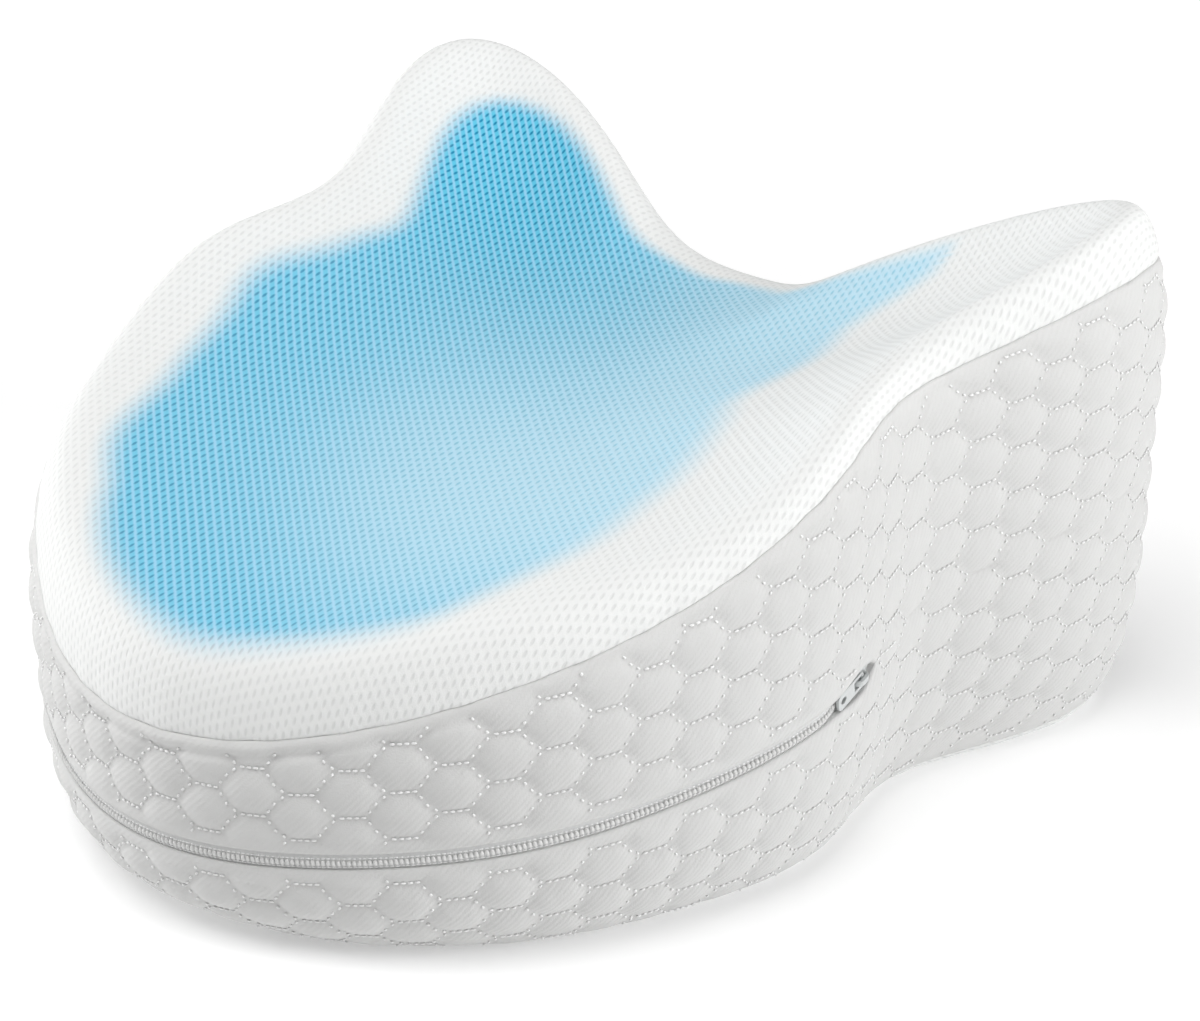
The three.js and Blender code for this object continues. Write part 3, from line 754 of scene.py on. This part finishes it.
def zip_bar(name, start, stop, section):
    """A bar along the zip line. section gives, for each step, its corners as (height on the wall, depth)."""
    along = np.linspace(ZIP_START_AT + start, ZIP_STOP_AT - stop, ZIP_STEPS)
    origin, run, up, out = zip_frame(along)
    height, depth = section(along)
    points = origin[:, None] + up[:, None] * height[..., None] - out[:, None] * depth[..., None]
    return swept(name, points)


def tape_section(along):
    """Woven tape: a flat bar between the lips, raised a little under the chain."""
    half = np.maximum(slit_half(along) + 0.3, 0.4)[:, None]
    across = np.array([-1, -0.6, -0.35, 0.35, 0.6, 1, 1, -1])
    depth = np.array([0.95, 1.0, 0.85, 0.85, 1.0, 0.95, 3.2, 3.2])
    sunk = TAPE_SINK * smooth(RISE_TO, RISE_FROM, along - ZIP_START_AT)[:, None] * (depth < 3)
    return half * across, depth + sunk


zip_tape = zip_bar("zip_tape_woven", 0.4, 0.4, tape_section)

# Each turn of the coil is a small rounded bar across the chain, leaning a little, with a stitch on either
# side.
coil_at = np.arange(ZIP_START_AT + COIL_START, ZIP_STOP_AT - COIL_STOP, COIL_PITCH)
origin, run, up, out = zip_frame(coil_at)
coil_axes = np.stack([unit(up + COIL_LEAN * run), unit(run - COIL_LEAN * up), out], 1)
coil_sizes = np.tile([0.8, 0.56, 0.5], (len(coil_at), 1))
zip_sunk = COIL_SINK * smooth(RISE_TO, RISE_FROM, coil_at - ZIP_START_AT)[:, None]
coil_centre = origin - out * (COIL_DEPTH + zip_sunk) - up * COIL_DROP
zip_coil = strewn("zip_coil", grain(4, 8, 0.9), coil_centre, coil_axes, coil_sizes)
seat = np.repeat(np.array([-1.45, 0.75]), len(coil_at))[:, None]
sew_origin = np.tile(origin - out * (SEWING_DEPTH + zip_sunk), (2, 1)) + np.tile(up, (2, 1)) * seat
sew_axes = np.tile(np.stack([run, up, out], 1), (2, 1, 1))
sew_sizes = np.tile([0.5, 0.2, 0.2], (len(sew_origin), 1))
zip_sewing = strewn("zip_sewing", grain(), sew_origin, sew_axes, sew_sizes)


def hard_copy(node, name, width):
    """A copy of a hard CAD node with its doubles merged and its edges rounded by a small bevel."""
    piece = bpy.data.objects.new(name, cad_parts[node].data.copy())
    bpy.context.scene.collection.objects.link(piece)
    mesh = bmesh.new()
    mesh.from_mesh(piece.data)
    bmesh.ops.remove_doubles(mesh, verts=mesh.verts, dist=2e-6)
    bmesh.ops.dissolve_limit(mesh, angle_limit=0.02, verts=mesh.verts, edges=mesh.edges)
    mesh.to_mesh(piece.data)
    mesh.free()
    piece.data.materials.clear()
    piece.data.shade_smooth()
    bevel = piece.modifiers.new("rounded edges", "BEVEL")
    bevel.width, bevel.segments, bevel.limit_method, bevel.harden_normals = width * MM, 3, "ANGLE", True
    return piece


slider = hard_copy("zip_slider", "zip_slider_body", 0.22)
pull = hard_copy("zip_pull", "zip_pull_tab", 0.16)

# A short row of stitches closes the band beyond each end of the zip.
TACKS, TACK_PITCH = 5, 1.7
tack_row = TACK_PITCH * np.arange(TACKS)
tack_u = np.concatenate([ZIP_START_AT - 2.2 - tack_row, ZIP_STOP_AT + 1.5 + tack_row])
tack_centre, tack_axes = band_frames(tack_u, np.full(2 * TACKS, 0.35), np.zeros(2 * TACKS))
tack_sizes = np.tile([0.72, 0.26, 0.26], (2 * TACKS, 1))
zip_end_tacks = strewn("zip_end_tacks", grain(), tack_centre + tack_axes[:, 2] * 0.15, tack_axes, tack_sizes)

# Materials


def linear(hex_colour):
    """sRGB hex to linear RGBA."""
    value = np.array([int(hex_colour[i : i + 2], 16) for i in (1, 3, 5)]) / 255
    rgb = np.where(value <= 0.04045, value / 12.92, ((value + 0.055) / 1.055) ** 2.4)
    return (*rgb.tolist(), 1.0)


def add(tree, kind, inputs=None, **settings):
    """Adds a node of that kind with its settings, and fills its inputs with values or links."""
    node = tree.nodes.new("ShaderNode" + kind)
    for name, value in settings.items():
        setattr(node, name, value)
    for name, value in (inputs or {}).items():
        if isinstance(value, bpy.types.NodeSocket):
            tree.links.new(value, node.inputs[name])
        else:
            node.inputs[name].default_value = value
    return node


def new_material(name):
    """An empty node material with its shader and output."""
    material = bpy.data.materials.new(name)
    material.use_nodes = True
    tree = material.node_tree
    tree.nodes.clear()
    shader = add(tree, "BsdfPrincipled")
    add(tree, "OutputMaterial", {"Surface": shader.outputs["BSDF"]})
    return material, tree, shader


# Real mesh knit: columns of slits, the slits along a column, half the length and half the width of a slit,
# how the cloth lies on the panel and how the slits slant in it, and how much each column is out of step
# with the last.
SLIT_COLUMNS, SLIT_ROWS, SLIT_LONG, SLIT_WIDE = 2.1, 2.7, 1.2, 0.38
CLOTH_TURN, SLIT_TURN, SLIT_SLIDE = np.radians(-50), np.radians(-52), 0.22


def mesh_knit(name, printed):
    """Polyester mesh knit, warp knitted with slanting slits. It is matt with a faint sheen, and ribs run
    between the columns of slits. The print colours the ribs and the slits, and all slits are painted darker
    than the cloth around them, as painted shade in the holes."""
    material, tree, shader = new_material(name)
    lay = add(tree, "UVMap", uv_map="cloth").outputs["UV"]
    laid = {"Vector": lay, "Angle": CLOTH_TURN}
    turned = add(tree, "VectorRotate", laid, rotation_type="Z_AXIS").outputs[0]
    split = add(tree, "SeparateXYZ", {"Vector": turned})
    x, y = split.outputs[0], split.outputs[1]
    column = add(tree, "Math", {0: x, 1: SLIT_COLUMNS}, operation="DIVIDE").outputs[0]
    slide = add(tree, "Math", {0: x, 1: SLIT_SLIDE, 2: y}, operation="MULTIPLY_ADD").outputs[0]
    row = add(tree, "Math", {0: slide, 1: SLIT_ROWS}, operation="DIVIDE").outputs[0]
    lattice = add(tree, "CombineXYZ", {"X": column, "Y": row}).outputs[0]
    inside = add(tree, "VectorMath", {0: lattice}, operation="FRACTION").outputs[0]
    centred = add(tree, "VectorMath", {0: inside, 1: (0.5, 0.5, 0)}, operation="SUBTRACT").outputs[0]
    pitch, shrunk = (SLIT_COLUMNS, SLIT_ROWS, 0), (1 / SLIT_LONG, 1 / SLIT_WIDE, 0)
    sized = add(tree, "VectorMath", {0: centred, 1: pitch}, operation="MULTIPLY").outputs[0]
    slanted = {"Vector": sized, "Angle": SLIT_TURN}
    slit = add(tree, "VectorRotate", slanted, rotation_type="Z_AXIS").outputs[0]
    oval = add(tree, "VectorMath", {0: slit, 1: shrunk}, operation="MULTIPLY").outputs[0]
    distance = add(tree, "VectorMath", {0: oval}, operation="LENGTH").outputs["Value"]
    rim = {"Value": distance, "From Min": 1.3, "From Max": 0.4}
    hole = add(tree, "MapRange", rim, interpolation_type="SMOOTHSTEP").outputs[0]
    rib_turn = add(tree, "Math", {0: column, 1: 2 * np.pi}, operation="MULTIPLY").outputs[0]
    rib = add(tree, "Math", {0: rib_turn}, operation="COSINE").outputs[0]
    yarn = add(tree, "TexNoise", {"Vector": turned, "Scale": 3.2, "Detail": 2.0}).outputs["Fac"]
    ribbed = add(tree, "Math", {0: rib, 1: 0.22, 2: yarn}, operation="MULTIPLY_ADD").outputs[0]
    height = add(tree, "Math", {0: hole, 1: -1.1, 2: ribbed}, operation="MULTIPLY_ADD").outputs[0]
    bump = add(tree, "Bump", {"Height": height, "Strength": 0.4 if printed else 0.3, "Distance": 0.0003})
    # The darker shade colour is painted shade in the slits, which are holes; the white is the cloth's own
    # colour.
    white, shade = linear("#e4e5e4"), linear("#d9dad9")
    if printed:
        amount = add(tree, "Attribute", attribute_name="print").outputs["Fac"]
        # This mark is partly painted light: the print is painted paler where the right side is lit most.
        paleness_with_painted_light = add(tree, "Attribute", attribute_name="paleness_with_painted_light").outputs["Fac"]
        ridge = add(tree, "MapRange", {"Value": rib, "From Min": -0.2, "From Max": 1.0}).outputs[0]
        groove_blue, ridge_blue, pale_blue = linear("#57bddb"), linear("#8ec7e4"), linear("#bcdbe9")
        # The slits' deep blues are the print darkened by painted shade in the holes.
        slit_print_with_painted_shade, pale_slit_print_with_painted_shade = linear("#0d82a9"), linear("#9accdf")
        strong = add(tree, "Mix", {0: ridge, 6: groove_blue, 7: ridge_blue}, data_type="RGBA").outputs[2]
        face = add(tree, "Mix", {0: paleness_with_painted_light, 6: strong, 7: pale_blue}, data_type="RGBA").outputs[2]
        deep = add(tree, "Mix", {0: paleness_with_painted_light, 6: slit_print_with_painted_shade, 7: pale_slit_print_with_painted_shade}, data_type="RGBA").outputs[2]
        inked = add(tree, "Mix", {0: hole, 6: face, 7: deep}, data_type="RGBA").outputs[2]
        bare = add(tree, "Mix", {0: hole, 6: white, 7: shade}, data_type="RGBA").outputs[2]
        colour = add(tree, "Mix", {0: amount, 6: bare, 7: inked}, data_type="RGBA").outputs[2]
    else:
        colour = add(tree, "Mix", {0: hole, 6: white, 7: shade}, data_type="RGBA").outputs[2]
    tree.links.new(colour, shader.inputs["Base Color"])
    tree.links.new(bump.outputs[0], shader.inputs["Normal"])
    shader.inputs["Roughness"].default_value = 0.85
    shader.inputs["Sheen Weight"].default_value = 0.15
    shader.inputs["Specular IOR Level"].default_value = 0.25
    return material


def air_layer_knit():
    """Polyester air-layer knit, quilted in cells: matt, soft and white, with a fine slanting rib. The bands
    lie 1.4 mm apart, coarser than the real stitches of about 0.4 mm, so that they show. The sewn grooves
    are painted a little greyer than the puffs, as painted shade."""
    material, tree, shader = new_material("quilted air-layer knit")
    lay = add(tree, "UVMap", uv_map="cloth").outputs["UV"]
    wave = {"Vector": lay, "Scale": 0.32, "Distortion": 1.2, "Detail": 1.0}
    rib = add(tree, "TexWave", wave, bands_direction="DIAGONAL").outputs["Fac"]
    fuzz = add(tree, "TexNoise", {"Vector": lay, "Scale": 2.4, "Detail": 3.0}).outputs["Fac"]
    height = add(tree, "Math", {0: rib, 1: 0.5, 2: fuzz}, operation="MULTIPLY_ADD").outputs[0]
    bump = add(tree, "Bump", {"Height": height, "Strength": 0.4, "Distance": 0.00025})
    puffed = add(tree, "Attribute", attribute_name="puffed").outputs["Fac"]
    raised = add(tree, "MapRange", {"Value": puffed, "From Min": 0.0, "From Max": 0.15}).outputs[0]
    # Painted shade: the sewn grooves between the puffed cells are coloured a little darker than the puffs.
    groove_painted_shade, puff_white = linear("#cacac9"), linear("#cfcfce")
    colour = add(tree, "Mix", {0: raised, 6: groove_painted_shade, 7: puff_white}, data_type="RGBA").outputs[2]
    tree.links.new(colour, shader.inputs["Base Color"])
    tree.links.new(bump.outputs[0], shader.inputs["Normal"])
    shader.inputs["Roughness"].default_value = 0.9
    shader.inputs["Sheen Weight"].default_value = 0.12
    shader.inputs["Specular IOR Level"].default_value = 0.2
    return material


def plain_material(name, colour, shade, roughness, metallic=0.0, scale=900, bump=0.1):
    """A material of one main colour, broken by a fine noise in colour and height. scale is the noise's
    grains to the metre."""
    material, tree, shader = new_material(name)
    place = add(tree, "TexCoord").outputs["Object"]
    noise = add(tree, "TexNoise", {"Vector": place, "Scale": scale, "Detail": 3.0}).outputs["Fac"]
    mixed = add(tree, "Mix", {0: noise, 6: linear(colour), 7: linear(shade)}, data_type="RGBA").outputs[2]
    height = add(tree, "Bump", {"Height": noise, "Strength": bump, "Distance": 0.0002}).outputs[0]
    tree.links.new(mixed, shader.inputs["Base Color"])
    tree.links.new(height, shader.inputs["Normal"])
    shader.inputs["Roughness"].default_value = roughness
    shader.inputs["Metallic"].default_value = metallic
    return material


# Twisted polyester sewing thread: bright white, a little glossier than the cloth.
thread = plain_material("polyester sewing thread", "#f3f3f3", "#e2e2e2", 0.5, scale=2500)
# Woven polyester tape: flat white-grey with fine picks.
tape_cloth = plain_material("woven polyester tape", "#d9d9d8", "#c9caca", 0.8, scale=1600, bump=0.4)
# Nylon monofilament coil: smooth, half matt, white.
coil_nylon = plain_material("nylon coil", "#dcdcdb", "#d0d0cf", 0.45)
# Die-cast zinc with a pale grey lacquer: smooth, with soft glints.
lacquered_zinc = plain_material("lacquered zinc", "#cdd0d0", "#c0c3c3", 0.36, metallic=0.2, bump=0.03)


def lit_board():
    """Matt pale studio board, lit from below as a table for cut-outs is: more so away from the middle."""
    material, tree, shader = new_material("pale floor board")
    place = add(tree, "TexCoord").outputs["Object"]
    distance = add(tree, "VectorMath", {0: place}, operation="LENGTH").outputs["Value"]
    spread = {"Value": distance, "From Min": 0.3, "From Max": 1.2, "To Min": 0.29, "To Max": 0.9}
    tree.links.new(add(tree, "MapRange", spread).outputs[0], shader.inputs["Emission Strength"])
    shader.inputs["Emission Color"].default_value = (1, 1, 1, 1)
    shader.inputs["Base Color"].default_value = linear("#e0e0e0")
    shader.inputs["Roughness"].default_value = 0.9
    return material


floor_board = lit_board()

PIECES = (
    (quilted_body, air_layer_knit(), "band_cloth", ("cushion",)),
    (quilting_thread, thread, "band_cloth", ()),
    (printed_top, mesh_knit("printed polyester mesh knit", True), "top_cloth", ("top_panel",)),
    (plain_underside, mesh_knit("white polyester mesh knit", False), "under_cloth", ("under_panel",)),
    (zip_tape, tape_cloth, "zip_tape", ("zip_tape",)),
    (zip_coil, coil_nylon, "zip_chain", ("zip_chain",)),
    (zip_sewing, thread, "zip_tape", ()),
    (slider, lacquered_zinc, "zip_metal", ("zip_slider",)),
    (pull, lacquered_zinc, "zip_metal", ("zip_pull",)),
    (zip_end_tacks, thread, "band_cloth", ()),
)
for piece, material, slot, nodes in PIECES:
    piece.data.materials.append(material)
    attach(piece, "root")
    if nodes:
        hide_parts(*nodes)

# Floor, light and camera

floor_mesh = bpy.data.meshes.new("floor")
floor_mesh.from_pydata([(-6, -6, 0), (6, -6, 0), (6, 6, 0), (-6, 6, 0)], [], [(0, 1, 2, 3)])
floor = bpy.data.objects.new("floor", floor_mesh)
floor.data.materials.append(floor_board)
bpy.context.scene.collection.objects.link(floor)

# The camera's place round the pillow, its distance in millimetres from the point that it circles, its focal
# length in pixels of the photo, the photo's width, and how far it is moved sideways and up.
AZIMUTH, ELEVATION, DISTANCE = np.radians(40.5), np.radians(26.1), 729.9
FOCAL_PX, PHOTO_WIDE, MOVED_RIGHT, MOVED_UP, CIRCLED_HEIGHT = 2745.8, 1200, 14.0, 4.3, 50
back = Vector((np.sin(AZIMUTH) * np.cos(ELEVATION), -np.cos(AZIMUTH) * np.cos(ELEVATION), np.sin(ELEVATION)))
right = Vector((np.cos(AZIMUTH), np.sin(AZIMUTH), 0))
above = back.cross(right)
eye = Vector((0, SHIFT_Y, CIRCLED_HEIGHT)) + back * DISTANCE + right * MOVED_RIGHT + above * MOVED_UP
camera = bpy.data.objects.new("camera", bpy.data.cameras.new("camera"))
camera.matrix_world = Matrix.Translation(eye * MM) @ Matrix((right, above, back)).transposed().to_4x4()
camera.data.sensor_fit = "HORIZONTAL"
camera.data.lens = FOCAL_PX * camera.data.sensor_width / PHOTO_WIDE
bpy.context.scene.collection.objects.link(camera)
bpy.context.scene.camera = camera


LIT_POINT = (0, 0, 0.05)


def soft_box(name, place, size, power):
    """A square studio soft box at that place in metres, turned to the pillow."""
    light = bpy.data.lights.new(name, "AREA")
    light.size, light.energy = size, power
    lamp = bpy.data.objects.new(name, light)
    lamp.location = place
    lamp.rotation_euler = (Vector(LIT_POINT) - Vector(place)).to_track_quat("-Z", "Y").to_euler()
    bpy.context.scene.collection.objects.link(lamp)


soft_box("overhead soft box", (0.0, -0.4, 1.3), 1.1, 16.6)
soft_box("right soft box", (1.3, 0.5, 0.5), 0.65, 13.0)
soft_box("left soft box", (-1.3, -0.5, 0.3), 0.8, 12.5)

world = bpy.data.worlds.new("studio")
world.use_nodes = True
world.node_tree.nodes["Background"].inputs["Color"].default_value = (1, 1, 1, 1)
world.node_tree.nodes["Background"].inputs["Strength"].default_value = 0.07
bpy.context.scene.world = world
bpy.context.scene.view_settings.view_transform = "Standard"
